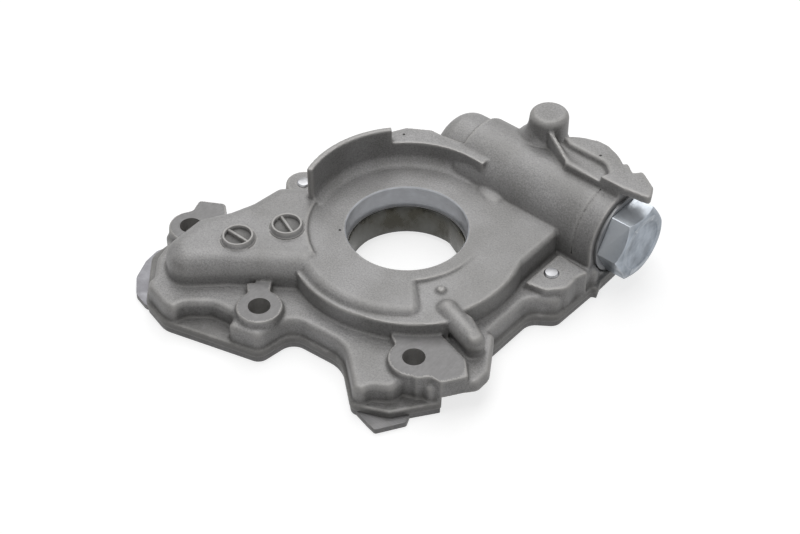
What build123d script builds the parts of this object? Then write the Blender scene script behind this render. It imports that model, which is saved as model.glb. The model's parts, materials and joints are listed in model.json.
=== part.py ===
from build123d import *
import os
from math import cos, hypot, pi, radians, sin, tan

# Engine oil pump: a die-cast housing with a gerotor set driven straight by the crankshaft,
# a steel rear cover held by countersunk screws and a plunger relief valve under a hex plug.
# Millimetres. The origin is on the crankshaft axis at the rear of the cover, which is the face
# that meets the engine. +Z points to the front of the engine, +X along the relief valve to its plug.

# Heights above the mounting face
COVER_THICK = 2.3
FLANGE_TOP = 5.6
TERRACE_TOP = 13.3
PAD_TOP = 16.5
HUB_TOP = 24.0
LOBE_TOP = 25.2
PLATEAU_TOP = 33.9
SHIELD_TOP = 40.4
DISC_TOP = 44.0
POST_TOP = 48.6
BACK = COVER_THICK

# Gerotor set
TEETH = 10
ECCENTRICITY = 2.5
ECCENTRIC_ANGLE = -45.0
LOBE_CIRCLE_R = 36.5
LOBE_R = 5.5
TIP_CLEARANCE = 0.06
OUTER_ROTOR_R = 40.0
ROTOR_RUNNING_GAP = 0.08
ROTOR_WIDTH = 11.2
AXIAL_GAP = 0.05
VALLEY_GAP = 0.12
ARCS_PER_LOBE = 8
VALLEY_CROWDING = 0.667
COLLAR_R = 23.0
COLLAR_TOP = 14.4
DRIVE_BORE_R = 22.25
DRIVE_FLATS = 43.0
DRIVE_FLAT_ANGLE = 65.3
ROTOR_X = ECCENTRICITY * cos(radians(ECCENTRIC_ANGLE))
ROTOR_Y = ECCENTRICITY * sin(radians(ECCENTRIC_ANGLE))
ROTOR_LOW = BACK + AXIAL_GAP
ROTOR_HIGH = ROTOR_LOW + ROTOR_WIDTH
POCKET_R = OUTER_ROTOR_R + ROTOR_RUNNING_GAP
POCKET_TOP = ROTOR_HIGH + AXIAL_GAP

# Crankshaft seal seat and hub
SEAL_R = 23.5
SEAL_FLOOR = 14.5
SEAL_CHAMFER = 0.5
HUB_COLLAR_R = 29.5
CHAMBER_WALL = 6.0
DRUM_R = POCKET_R + CHAMBER_WALL
DRUM_ROUND = 1.5
LOBE_FACE_R = 44.3
RECESS_R = 39.0
RECESS_COVE = 4.5
RECESS_EDGE_R = 38.0
SHIELD_WALL = 2.4
SHIELD_FROM = 139.0
SHIELD_TO = 199.0
COVE_FROM = 88.0
COVE_FOOT = 1.0
SLOPE_START_Y = 8.0
SLOPE_ANGLE = 2.9
SIDE_ROUND = 2.0

# Mounting bolts, through the bosses
BOLT_HOLE_R = 4.25
BOLT_A = (-70.2, -47.5)
BOLT_B = (-18.8, -62.5)
BOLT_C = (41.65, -45.2)
BOSS_A_R = 8.4
BOSS_B_R = 8.7
BOSS_C_R = 9.4
BOSS_D_R = 7.2
BOSS_FOOT = 1.2

# Cover screws, countersunk from the rear
SCREW_R = 3.0
SCREW_GAP = 0.03
SCREW_HEAD_R = 5.2
SCREW_SUNK = 0.1
SCREW_DRIVE = 4.0
SCREW_DRIVE_DEPTH = 1.3
SCREW_LENGTH = 10.0
SCREW_TIP = 0.8
SCREW_TIP_CHAMFER = 0.6
SCREW_D = (-53.9, -0.1)
SCREW_E = (53.1, 22.0)
BLIND_SCREWS = [(-68.5, -60.5), (13.0, -48.5), (46.5, -33.0), (-31.5, 37.5), (0.0, 69.0), (57.0, 35.0)]

# Relief valve along X
VALVE_Y = 54.0
VALVE_Z = 20.0
TUBE_R = 18.0
TUBE_START = -7.4
TUBE_END = 60.5
CAP_R = 16.2
CAP_END = -22.5
CAP_ROUND = 7.5
CAP_SHOULDER = 2.0
COLLAR_GROOVE_X = 51.6
COLLAR_GROOVE = 0.8
COLLAR_GROOVE_DEPTH = 0.5
VALVE_BORE_R = 9.0
VALVE_BORE_START = -2.5
VALVE_PRESSURE_R = 7.2
VALVE_PRESSURE_START = -9.0
THREAD_R = 12.0
THREAD_START = 45.0
THREAD_RELIEF = 1.5
THREAD_GAP = 0.04
PISTON_GAP = 0.04
PISTON_LENGTH = 24.0
PISTON_CROWN = 4.0
PISTON_WALL = 1.6
PISTON_CHAMFER = 0.6
PISTON_GROOVE = 0.5
PISTON_GROOVE_WIDE = 1.2
PISTON_GROOVE_PITCH = 5.0
PISTON_GROOVES = 2
SPRING_GAP = 0.4
SPRING_WIRE = 2.0
SPRING_TURNS = 7
SPRING_FLATS = 8
WASHER_THICK = 1.5
WASHER_R = 15.8
HEX_AF = 27.0
HEX_THICK = 10.0
HEX_CHAMFER = 30.0
HEX_CHAMFER_SHARE = 0.96
HEX_RING_R = 5.5
HEX_RING_BORE_R = 4.7
HEX_RING_DEEP = 0.25
PLUG_CUP_R = 8.0
PLUG_CUP_FLOOR = 3.0
SEAT_GAP = 0.05
PLUG_CLEAR_R = 16.4

# Oil ways, open to the rear and closed by the cover
PORT_INNER_R = 28.3
PORT_OUTER_R = 36.6
PORT_DEPTH = 6.0
PORT_LAND_ANGLE = 18.0
CHANNEL_TOP = 9.0
DELIVERY_TOP = 19.0
SUCTION_PORT = (46.5, 60.0)
SUCTION_R = 8.5
DELIVERY_PORT = (-54.0, -61.5)
DELIVERY_R = 8.0
DELIVERY_WALL = 4.0
SEAL_WALL = 4.0
CRANK_HOLE_R = 24.2
COVER_SETBACK = 0.4
RELIEF_FEED = (-6.0, VALVE_Y)
RELIEF_SPILL = (27.0, VALVE_Y)
RELIEF_FEED_R = 3.4

# Outlines seen from the front, counter-clockwise, each corner with its rounding radius
FLANGE = [
    (-78.2, -62.0, 7), (-61.5, -81.0, 4), (-49.0, -84.2, 10), (-9.3, -73.0, 5), (-7.2, -57.6, 6),
    (15.5, -55.6, 13), (32.8, -70.0, 4), (46.0, -64.0, 4), (57.3, -48.2, 1), (52.4, -43.0, 2),
    (54.2, -37.5, 3), (54.2, 7.8, 6), (62.8, 14.0, 5), (63.4, 35.6, 0.6), (65.4, 36.4, 0.8),
    (63.6, 41.0, 2), (63.4, 52.0, 3), (61.5, 60.0, 4), (61.5, 73.5, 5), (28.0, 76.5, 12),
    (6.0, 76.5, 9), (-8.0, 72.5, 9), (-23.5, 66.0, 7), (-24.5, 49.0, 5), (-41.0, 41.0, 7),
    (-42.0, 10.0, 4), (-52.0, 8.6, 5), (-62.0, 4.0, 6), (-62.0, -5.0, 6), (-57.5, -12.0, 2),
    (-58.5, -24.0, 5), (-62.5, -35.5, 2), (-68.8, -28.3, 3), (-79.5, -34.0, 2), (-76.5, -40.5, 2),
    (-78.6, -46.0, 6),
]
WALL_INSET = 1.3
TERRACE_ROUND = 2.4
TERRACE_EDGE = 2.2
CORNER_BAY = [(-46.0, -90.0, 0), (-42.5, -77.5, 5), (-35.0, -71.5, 4), (-26.0, -70.3, 2), (-20.0, -90.0, 0)]
LEFT_BAY = [(-90.0, -56.5, 0), (-74.5, -57.0, 3), (-71.0, -67.0, 6), (-62.5, -77.0, 3), (-90.0, -90.0, 0)]
RIGHT_BAY = [
    (38.0, -90.0, 0), (38.0, -64.8, 3), (45.0, -60.0, 5), (45.6, -52.0, 1), (60.0, -52.0, 0),
    (60.0, -90.0, 0),
]
PAD_A_TAB = [
    (-78.0, -45.0, 0), (-76.0, -40.5, 1), (-78.2, -34.8, 1), (-69.0, -29.4, 2), (-62.5, -35.0, 0),
    (-60.0, -45.0, 0), (-62.0, -57.0, 0), (-71.0, -56.0, 0),
]
PAD_B_NECK = [
    (-31.0, -56.5, 0), (-24.3, -49.8, 0), (-21.0, -54.6, 1), (-14.0, -60.0, 0), (-24.0, -66.0, 0),
    (-27.3, -60.0, 1),
]
PAD_C = [
    (28.0, -42.0, 0.5), (32.3, -44.6, 1), (41.0, -54.0, 0), (49.0, -52.5, 1), (52.5, -48.8, 1),
    (57.3, -48.4, 1), (60.5, -43.5, 1), (62.7, -40.0, 1), (56.5, -33.8, 1), (38.0, -29.0, 0),
]
PAD_C_WALL = [
    (42.0, -53.0, 0), (49.0, -52.5, 1), (52.5, -48.8, 1), (57.3, -48.4, 1), (54.0, -44.0, 0),
    (44.0, -40.0, 0),
]
EAR_C = [
    (50.0, -46.0, 0), (57.3, -48.0, 1), (60.5, -43.0, 2), (65.2, -37.5, 3), (65.0, -30.5, 4),
    (55.0, -15.0, 2), (50.0, -15.0, 0),
]
EAR_C_UNDERSIDE = 8.0
EAR_C_ROUND = 1.5
PAD_E = [
    (48.5, 11.5, 1), (57.0, 13.2, 4), (62.6, 19.5, 5), (61.8, 26.5, 1), (63.4, 31.6, 0.5),
    (48.8, 32.6, 1),
]
LEFT_LOBE = [
    (-55.5, -13.0, 4), (-57.0, -27.0, 6), (-60.0, -36.0, 4), (-66.3, -47.0, 5), (-65.5, -66.0, 9),
    (-53.5, -74.5, 9), (-38.8, -60.0, 9), (-12.0, -41.0, 6), (-10.0, -20.0, 4), (-36.0, 2.0, 4),
]
LOBE_ROUND = 8.0
RIDGE_CENTRE = (4.2, 2.9)
RIDGE_R = 49.9
RIDGE_REACH = [(13.0, -60.0, 0), (60.0, -60.0, 0), (60.0, -27.5, 0), (20.0, -27.5, 0), (13.0, -40.0, 0)]
FRONT_LOBE = [
    (-60.0, 20.0, 0), (-60.0, -60.0, 0), (32.5, -60.0, 0), (32.5, -29.2, 4), (21.5, -17.5, 1),
    (12.0, 0.0, 0), (0.0, 20.0, 0),
]
FRONT_LOBE_ROUND = 4.5
HUB_RIGHT = [
    (0.0, 40.0, 0), (0.0, -25.0, 0), (45.5, -12.0, 3), (45.5, 36.5, 7), (36.0, 44.0, 0), (0.0, 44.0, 0),
]
PLATEAU = [
    (-37.5, 25.5, 1), (-26.0, 24.5, 0), (6.0, 34.0, 0), (5.5, 46.0, 0), (-17.0, 42.6, 0), (-23.0, 42.2, 3),
    (-31.6, 36.8, 4),
]
DISC_CENTRE = (40.6, 50.7)
DISC_R = 18.8
DISC_FRONT_Y = 52.4
DISC_PLATE = 3.5
DISC_BACK_LIP = 1.6
TEETH_RIGHT = [
    (50.0, 52.4, 0), (62.0, 52.4, 1), (73.2, 54.0, 1.5), (70.2, 60.2, 1.5), (61.8, 65.3, 1),
    (59.5, 62.0, 0.5), (55.0, 65.4, 0.5), (48.0, 60.0, 0),
]
OBLONG_RECESS = [
    (18.0, 67.0, 0), (31.0, 60.4, 3), (47.8, 60.4, 4), (52.6, 56.4, 2), (50.4, 50.0, 0), (18.0, 50.0, 0),
]
OBLONG_FLOOR = 41.3
POST_PLACE = (16.5, 66.5)
POST_R = 7.8
POST_ROUND = 2.4
RIB_THICK = 1.9
RIB_FOOT = 25.0
RIB_RUN = [(16.4, 62.2, 46.2), (34.6, 53.2, 41.8), (50.0, 52.4, 41.3)]
WORM_RIB = [
    (35.0, -25.4, 2.4), (37.2, -19.6, 2.4), (48.0, -19.6, 4), (58.8, -25.4, 3), (57.0, -31.2, 3),
    (46.5, -26.8, 5),
]
WORM_TOP = 22.6
WORM_ROUND = 2.0
PIP_PLACE = (31.5, -17.5)
PIP_R = 1.6
PIP_TOP = 24.2
SUCTION_CHANNEL = [
    (20.0, 18.0, 0), (31.0, 10.0, 4), (43.0, 30.0, 6), (57.5, 54.0, 7), (54.5, 69.5, 7), (38.0, 69.5, 7),
    (27.0, 36.0, 6),
]
RELIEF_CHANNEL = [
    (-34.0, 8.0, 3), (-24.0, 20.0, 0), (-12.0, 36.0, 4), (-2.0, 54.0, 4), (-8.0, 58.0, 4), (-22.0, 42.0, 6),
    (-35.0, 22.0, 4),
]
COVER_EAR_LEFT = [
    (-79.4, -50.5, 1), (-81.6, -56.5, 3), (-80.6, -63.5, 5), (-76.7, -72.2, 5), (-70.0, -78.6, 4),
    (-60.0, -81.2, 3), (-60.0, -60.0, 0), (-75.0, -48.0, 0),
]
COVER_EAR_RIGHT = [
    (30.5, -67.8, 1), (41.0, -70.4, 1), (45.5, -71.3, 1.2), (51.8, -61.2, 1.5), (49.5, -56.0, 0),
    (35.0, -55.0, 0),
]

# Date dials cast on the left lobe
DIALS = [((-43.4, -47.7), 0.0), ((-33.7, -31.0), -22.0)]
DIAL_R = 6.0
DIAL_WALL = 0.9
DIAL_HEIGHT = 2.4
DIAL_FLOOR = 1.4
DIAL_BAR = 1.0
DIAL_BAR_DROP = 0.2

OVERCUT = 1.0
FAR = 90.0
STANDING = (Align.CENTER, Align.CENTER, Align.MIN)
ROTOR_AXIS = Pos(ROTOR_X, ROTOR_Y)


def closed_outline(corners):
    """Face inside a loop of straight runs, each corner given as x, y and its rounding radius."""
    points = [(x, y) for x, y, _ in corners]
    radii = [radius for _, _, radius in corners]
    return make_face(FilletPolyline(*points, radius=radii, close=True))


def prism(face, low, high):
    """Solid standing on height low and reaching up to height high."""
    return extrude(Pos(0, 0, low) * face, high - low)


def post(place, radius, low, high):
    """Round solid about a vertical axis."""
    return prism(Pos(*place) * Circle(radius), low, high)


def boss(place, radius, low, high, foot):
    """Round boss whose wall widens towards its foot as a cast wall does."""
    return Pos(*place, low) * Cone(radius + foot, radius, high - low, align=STANDING)


def valve_plane(x):
    """Plane square to the valve axis, its own x along Y."""
    return Plane(origin=(x, VALVE_Y, VALVE_Z), x_dir=(0, 1, 0), z_dir=(1, 0, 0))


def along_x(radius, start, end):
    """Round solid about the valve axis, from one x to another."""
    return extrude(valve_plane(start) * Circle(radius), end - start)


def round_top(solid, radius):
    """Round the highest edges of a solid."""
    return fillet(solid.edges().group_by(Axis.Z)[-1], radius)


def flange_face():
    """Outline of the housing where it meets the cover, with the round of the pump chamber."""
    return closed_outline(FLANGE) + ROTOR_AXIS * Circle(DRUM_R + WALL_INSET)


def base_body():
    """Flange with the lower body standing inside it, its top edge well rounded."""
    outline = flange_face()
    wall = outline - closed_outline(CORNER_BAY) - closed_outline(LEFT_BAY) - closed_outline(RIGHT_BAY)
    wall = offset(offset(wall, -WALL_INSET - TERRACE_ROUND), TERRACE_ROUND)
    return prism(outline, BACK, FLANGE_TOP) + round_top(prism(wall, BACK, TERRACE_TOP), TERRACE_EDGE)


def bolt_pads():
    """Machined pads round the mounting bolts and the two through screws."""
    return [
        boss(BOLT_A, BOSS_A_R, BACK, PAD_TOP, BOSS_FOOT),
        prism(closed_outline(PAD_A_TAB), FLANGE_TOP, PAD_TOP),
        boss(BOLT_B, BOSS_B_R, BACK, PAD_TOP, BOSS_FOOT),
        prism(closed_outline(PAD_B_NECK), FLANGE_TOP, PAD_TOP),
        post(BOLT_C, BOSS_C_R, BACK, PAD_TOP),
        prism(closed_outline(PAD_C), EAR_C_UNDERSIDE, PAD_TOP),
        prism(closed_outline(PAD_C_WALL), BACK, PAD_TOP),
        round_top(prism(closed_outline(EAR_C), EAR_C_UNDERSIDE, TERRACE_TOP), EAR_C_ROUND),
        prism(closed_outline(PAD_E), BACK, PAD_TOP),
        boss(SCREW_D, BOSS_D_R, BACK, PAD_TOP, BOSS_FOOT),
    ]


def left_lobe():
    """High pillow over the delivery passage, rounded wide at its front and cut back for the recess."""
    pillow = round_top(prism(closed_outline(LEFT_LOBE), BACK, LOBE_TOP), LOBE_ROUND)
    return pillow - post((0, 0), RECESS_EDGE_R, HUB_TOP, LOBE_TOP + OVERCUT)


def hub():
    """Drum over the rotors: its right side slopes, and the front lobe and seal collar stand flat on it."""
    drum = ROTOR_AXIS * Circle(DRUM_R)
    ridge = (Pos(*RIDGE_CENTRE) * Circle(RIDGE_R)) & closed_outline(RIDGE_REACH)
    low = round_top(prism(drum + ridge, BACK, HUB_TOP), DRUM_ROUND)
    low += round_top(prism(closed_outline(HUB_RIGHT), BACK, HUB_TOP), SIDE_ROUND)
    tilt = Pos(0, SLOPE_START_Y, HUB_TOP) * Rot(SLOPE_ANGLE, 0, 0)
    above = tilt * Box(2 * FAR, FAR, FAR, align=(Align.CENTER, Align.MAX, Align.MIN))
    front = (ROTOR_AXIS * Circle(LOBE_FACE_R)) & closed_outline(FRONT_LOBE)
    high = round_top(prism(front, TERRACE_TOP, HUB_TOP), FRONT_LOBE_ROUND)
    collar = post((0, 0), HUB_COLLAR_R, TERRACE_TOP, HUB_TOP)
    floor = Circle(RECESS_R) & Rectangle(FAR, FAR, align=(Align.MAX, Align.CENTER))
    return (low - above) + high + collar + prism(floor, TERRACE_TOP, HUB_TOP)


def shield():
    """Thin guard wall round the left of the front recess."""
    ring = Circle(RECESS_R + SHIELD_WALL) - Circle(RECESS_R)
    wedge = sector(SHIELD_FROM, SHIELD_TO)
    return prism(ring & wedge, TERRACE_TOP, SHIELD_TOP)


def sector(start, end):
    """Wide face between two directions from the crankshaft axis, less than a half turn apart."""
    middle = (start + end) / 2
    rays = [(FAR * cos(radians(a)), FAR * sin(radians(a))) for a in (start, middle, end)]
    return make_face(Polyline((0, 0), *rays, close=True))


def recess_cove():
    """Concave round between the hub face and the wall of the recess."""
    low = RECESS_R - RECESS_COVE
    high = HUB_TOP + RECESS_COVE
    wall = RECESS_R + COVE_FOOT
    foot = HUB_TOP - COVE_FOOT
    edge = RadiusArc((low, HUB_TOP), (RECESS_R, high), -RECESS_COVE)
    edge += Polyline((RECESS_R, high), (wall, high), (wall, foot), (low, foot), (low, HUB_TOP))
    ring = revolve(Plane.XZ * make_face(edge), Axis.Z, SHIELD_TO - COVE_FROM)
    return Rot(0, 0, COVE_FROM) * ring


def plateau():
    """Raised shelf between the recess and the valve tube."""
    shelf = prism(closed_outline(PLATEAU), BACK, PLATEAU_TOP)
    return shelf - post((0, 0), RECESS_R, HUB_TOP - OVERCUT, PLATEAU_TOP + OVERCUT)


def valve_tube():
    """Round housing of the relief valve, with its blind end and straight flanks below the axis."""
    tube = along_x(TUBE_R, TUBE_START, TUBE_END)
    groove_end = COLLAR_GROOVE_X + COLLAR_GROOVE
    groove = along_x(TUBE_R + OVERCUT, COLLAR_GROOVE_X, groove_end)
    tube -= groove - along_x(TUBE_R - COLLAR_GROOVE_DEPTH, COLLAR_GROOVE_X, groove_end)
    cap = fillet(along_x(CAP_R, CAP_END, TUBE_START).faces().sort_by(Axis.X)[0].edges(), CAP_ROUND)
    flank = valve_foot(TUBE_R, TUBE_START, TUBE_END)
    end = valve_foot(CAP_R, CAP_END + CAP_ROUND - CAP_SHOULDER, TUBE_START)
    above = Pos(0, VALVE_Y, BACK) * Box(4 * FAR, FAR, FAR, align=STANDING)
    return (tube + cap & above) + flank + end


def valve_foot(half, start, end):
    """Straight-sided body under a stretch of the valve tube, from the cover up to the valve axis."""
    block = Box(end - start, 2 * half, VALVE_Z - BACK, align=(Align.MIN, Align.CENTER, Align.MIN))
    return Pos(start, VALVE_Y, BACK) * block


def disc_platform():
    """Round plate behind the tube with its oblong recess and angular right end, on a cast block."""
    behind = Pos(0, DISC_FRONT_Y) * Rectangle(4 * FAR, FAR, align=(Align.CENTER, Align.MIN))
    face = (Pos(*DISC_CENTRE) * Circle(DISC_R) + closed_outline(TEETH_RIGHT)) & behind
    (x0, y0, _), (x1, y1, _), _ = RIB_RUN
    face -= make_face(Polyline((x0, y0), (x1, y1), (x1, 0), (x0, 0), close=True))
    plate = prism(face, DISC_TOP - DISC_PLATE, DISC_TOP)
    under = Pos(TUBE_END, 0) * Rectangle(2 * FAR, 2 * FAR, align=(Align.MAX, Align.CENTER))
    block = prism(face & (Pos(0, -DISC_BACK_LIP) * face) & under, BACK, DISC_TOP - DISC_PLATE)
    return plate + block - prism(closed_outline(OBLONG_RECESS), OBLONG_FLOOR, DISC_TOP + OVERCUT)


def rib():
    """Thin web from the post to the disc, its top running down as it goes."""
    web = rib_sheet(RIB_RUN[0], RIB_RUN[1])
    return web + rib_sheet(RIB_RUN[1], RIB_RUN[2])


def rib_sheet(start, end):
    """One straight stretch of the rib, each end given as x, y and the height of its top."""
    (x0, y0, z0), (x1, y1, z1) = start, end
    run = hypot(x1 - x0, y1 - y0)
    front = Plane(origin=(x0, y0, 0), x_dir=(x1 - x0, y1 - y0, 0), z_dir=(y1 - y0, x0 - x1, 0))
    side = make_face(Polyline((0, RIB_FOOT), (run, RIB_FOOT), (run, z1), (0, z0), close=True))
    return extrude(front * side, -RIB_THICK)


def dial(place, turn):
    """Empty date dial: a raised ring round a shallow recess, crossed by one bar."""
    rim = LOBE_TOP + DIAL_HEIGHT
    ring = post(place, DIAL_R, LOBE_TOP - OVERCUT, rim)
    ring -= post(place, DIAL_R - DIAL_WALL, rim - DIAL_FLOOR, rim + OVERCUT)
    bar = Box(2 * DIAL_R - DIAL_WALL, DIAL_BAR, DIAL_HEIGHT - DIAL_BAR_DROP, align=STANDING)
    return ring + Pos(*place, LOBE_TOP) * Rot(0, 0, turn) * bar


def worm_rib():
    """Rounded buttress on the right shoulder, wider at its outer end."""
    return round_top(prism(closed_outline(WORM_RIB), EAR_C_UNDERSIDE, WORM_TOP), WORM_ROUND)


def screw_places():
    """Every cover screw as its place and the height of its tip."""
    through = [(SCREW_D, PAD_TOP + SCREW_TIP), (SCREW_E, PAD_TOP + SCREW_TIP)]
    return through + [(place, SCREW_LENGTH) for place in BLIND_SCREWS]


def port_window(turn):
    """Kidney-shaped port beside the rotors, from one sealing land to the other."""
    ring = Circle(PORT_OUTER_R) - Circle(PORT_INNER_R)
    first = sector(turn + PORT_LAND_ANGLE, turn + 90)
    second = sector(turn + 90, turn + 180 - PORT_LAND_ANGLE)
    return Pos(ROTOR_X / 2, ROTOR_Y / 2) * (ring & (first + second))


def delivery_face():
    """Hollow of the left lobe, a wall inside its outline and clear of the seal seat."""
    return offset(closed_outline(LEFT_LOBE), -DELIVERY_WALL) - Circle(SEAL_R + SEAL_WALL)


def housing_cuts():
    """Everything that is machined or cored out of the housing."""
    lead_in = Cone(SEAL_R, SEAL_R + 2 * SEAL_CHAMFER, 2 * SEAL_CHAMFER, align=STANDING)
    cuts = [
        prism(ROTOR_AXIS * Circle(POCKET_R), 0, POCKET_TOP),
        post((0, 0), COLLAR_R + ROTOR_RUNNING_GAP, 0, SEAL_FLOOR + OVERCUT),
        post((0, 0), SEAL_R, SEAL_FLOOR, HUB_TOP + OVERCUT),
        Pos(0, 0, HUB_TOP - SEAL_CHAMFER) * lead_in,
        prism(port_window(ECCENTRIC_ANGLE), POCKET_TOP - OVERCUT, POCKET_TOP + PORT_DEPTH),
        prism(port_window(ECCENTRIC_ANGLE + 180), POCKET_TOP - OVERCUT, POCKET_TOP + PORT_DEPTH),
        prism(closed_outline(SUCTION_CHANNEL), 0, CHANNEL_TOP),
        prism(delivery_face(), 0, DELIVERY_TOP),
        prism(closed_outline(RELIEF_CHANNEL), 0, CHANNEL_TOP),
        post(RELIEF_FEED, RELIEF_FEED_R, 0, VALVE_Z),
        post(RELIEF_SPILL, RELIEF_FEED_R, 0, VALVE_Z),
        along_x(VALVE_PRESSURE_R, VALVE_PRESSURE_START, TUBE_END),
        along_x(VALVE_BORE_R, VALVE_BORE_START, TUBE_END + OVERCUT),
        along_x(THREAD_R, THREAD_START, TUBE_END + OVERCUT),
        along_x(PLUG_CLEAR_R, TUBE_END, TUBE_END + FAR),
    ]
    for place in (BOLT_A, BOLT_B, BOLT_C):
        cuts.append(post(place, BOLT_HOLE_R, 0, PAD_TOP + OVERCUT))
    for place, tip in screw_places():
        depth = tip + OVERCUT if tip > PAD_TOP else tip + SCREW_SUNK
        cuts.append(post(place, SCREW_R + SCREW_GAP, 0, depth))
    return cuts


def build_housing():
    """Die-cast housing with every cast form, then its bores and oil ways."""
    body = base_body()
    for solid in bolt_pads():
        body += solid
    forms = (left_lobe, hub, shield, recess_cove, plateau, valve_tube, disc_platform, rib, worm_rib)
    for form in forms:
        body += form()
    body += round_top(post(POST_PLACE, POST_R, BACK, POST_TOP), POST_ROUND)
    body += post(PIP_PLACE, PIP_R, TERRACE_TOP, PIP_TOP)
    for place, turn in DIALS:
        body += dial(place, turn)
    for cut in housing_cuts():
        body -= cut
    return body


def build_cover():
    """Steel rear cover with its two corner ears, the crank hole, the ports and the sunk screw holes."""
    face = offset(flange_face(), -COVER_SETBACK)
    face += closed_outline(COVER_EAR_LEFT) + closed_outline(COVER_EAR_RIGHT)
    face -= Circle(CRANK_HOLE_R)
    face -= Pos(*SUCTION_PORT) * Circle(SUCTION_R)
    face -= Pos(*DELIVERY_PORT) * Circle(DELIVERY_R)
    for place in (BOLT_A, BOLT_B, BOLT_C):
        face -= Pos(*place) * Circle(BOLT_HOLE_R)
    plate = prism(face, 0, COVER_THICK)
    for place, _ in screw_places():
        plate -= Pos(*place) * screw_head(SCREW_GAP)
        plate -= post(place, SCREW_HEAD_R + SCREW_GAP, 0, SCREW_SUNK)
        plate -= post(place, SCREW_R + SCREW_GAP, 0, COVER_THICK + OVERCUT)
    return plate


def screw_head(gap):
    """Countersunk cone of a cover screw, wider than its head by a gap."""
    cone = Cone(SCREW_HEAD_R + gap, SCREW_R + gap, SCREW_HEAD_R - SCREW_R, align=STANDING)
    return Pos(0, 0, SCREW_SUNK) * cone


def build_screw(place, tip):
    """Countersunk cover screw with a socket in its head and a chamfered tip."""
    screw = screw_head(0) + post((0, 0), SCREW_R, SCREW_SUNK + SCREW_HEAD_R - SCREW_R, tip)
    screw = chamfer(screw.edges().group_by(Axis.Z)[-1], SCREW_TIP_CHAMFER)
    screw -= extrude(RegularPolygon(SCREW_DRIVE / 2, 6, major_radius=False), SCREW_SUNK + SCREW_DRIVE_DEPTH)
    return Pos(*place) * screw


def rotor_point(step):
    """Point of the inner rotor's outline, step counting arcs: a trochoid pulled in square to itself."""
    order = TEETH + 1
    inset = LOBE_R + TIP_CLEARANCE
    s = 2 * pi * step / (TEETH * ARCS_PER_LOBE)
    t = s - VALLEY_CROWDING / TEETH * sin(TEETH * s)
    x = LOBE_CIRCLE_R * cos(t) - ECCENTRICITY * cos(order * t)
    y = LOBE_CIRCLE_R * sin(t) - ECCENTRICITY * sin(order * t)
    dx = -LOBE_CIRCLE_R * sin(t) + ECCENTRICITY * order * sin(order * t)
    dy = LOBE_CIRCLE_R * cos(t) - ECCENTRICITY * order * cos(order * t)
    return (x - inset * dy / hypot(dx, dy), y + inset * dx / hypot(dx, dy))


def build_inner_rotor():
    """Inner gerotor with ten lobes, a pilot collar and a bore with two driving flats."""
    steps = range(TEETH * ARCS_PER_LOBE)
    arcs = [ThreePointArc(rotor_point(k), rotor_point(k + 0.5), rotor_point(k + 1)) for k in steps]
    rotor = prism(make_face(arcs), ROTOR_LOW, ROTOR_HIGH) + post((0, 0), COLLAR_R, ROTOR_LOW, COLLAR_TOP)
    bore = Circle(DRIVE_BORE_R) & (Rot(0, 0, DRIVE_FLAT_ANGLE) * Rectangle(DRIVE_FLATS, 3 * DRIVE_BORE_R))
    return rotor - prism(bore, 0, COLLAR_TOP + OVERCUT)


def build_outer_rotor():
    """Outer gerotor ring: eleven round lobes standing in a round hole."""
    order = TEETH + 1
    phase = (ECCENTRIC_ANGLE + 180) / order
    hole = Circle(LOBE_CIRCLE_R - LOBE_R + 2 * ECCENTRICITY + VALLEY_GAP)
    for k in range(order):
        hole -= Rot(0, 0, phase + 360 * k / order) * Pos(LOBE_CIRCLE_R, 0) * Circle(LOBE_R)
    return prism(ROTOR_AXIS * (Circle(OUTER_ROTOR_R) - hole), ROTOR_LOW, ROTOR_HIGH)


def build_piston():
    """Relief plunger: a closed crown to the pressure side and a cup for the spring."""
    start = VALVE_BORE_START + SEAT_GAP
    radius = VALVE_BORE_R - PISTON_GAP
    outer = along_x(radius, start, start + PISTON_LENGTH)
    outer = chamfer(outer.edges().group_by(Axis.X)[0], PISTON_CHAMFER)
    piston = outer - along_x(radius - PISTON_WALL, start + PISTON_CROWN, start + PISTON_LENGTH + OVERCUT)
    for k in range(1, PISTON_GROOVES + 1):
        low = start + k * PISTON_GROOVE_PITCH
        high = low + PISTON_GROOVE_WIDE
        piston -= along_x(radius + OVERCUT, low, high) - along_x(radius - PISTON_GROOVE, low, high)
    return piston


def build_spring():
    """Relief spring pressed between the two cups, its wire drawn with small flats."""
    low = VALVE_BORE_START + SEAT_GAP + PISTON_CROWN + SEAT_GAP
    high = TUBE_END + WASHER_THICK - PLUG_CUP_FLOOR - SEAT_GAP
    radius = VALVE_BORE_R - PISTON_GAP - PISTON_WALL - SPRING_GAP - SPRING_WIRE / 2
    rise = high - low - SPRING_WIRE
    path = Helix(rise / SPRING_TURNS, rise, radius)
    section = Plane(origin=path @ 0, z_dir=path % 0) * RegularPolygon(SPRING_WIRE / 2, SPRING_FLATS)
    return valve_plane(low + SPRING_WIRE / 2) * sweep(section, path=path, is_frenet=True)


def hex_head():
    """Hexagon lying on the washer, its outer corners cut by a cone, with a thin ring cut in its face."""
    corner = HEX_AF / 2 / cos(radians(30))
    flat = HEX_AF / 2 * HEX_CHAMFER_SHARE
    drop = (corner - flat) * tan(radians(HEX_CHAMFER))
    straight = HEX_THICK - drop
    bar = extrude(RegularPolygon(HEX_AF / 2, 6, major_radius=False), HEX_THICK)
    turned = Cylinder(corner, straight, align=STANDING)
    turned += Pos(0, 0, straight) * Cone(corner, flat, drop, align=STANDING)
    ring = prism(Circle(HEX_RING_R) - Circle(HEX_RING_BORE_R), HEX_THICK - HEX_RING_DEEP, HEX_THICK + OVERCUT)
    return valve_plane(TUBE_END + WASHER_THICK) * ((bar & turned) - ring)


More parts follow.
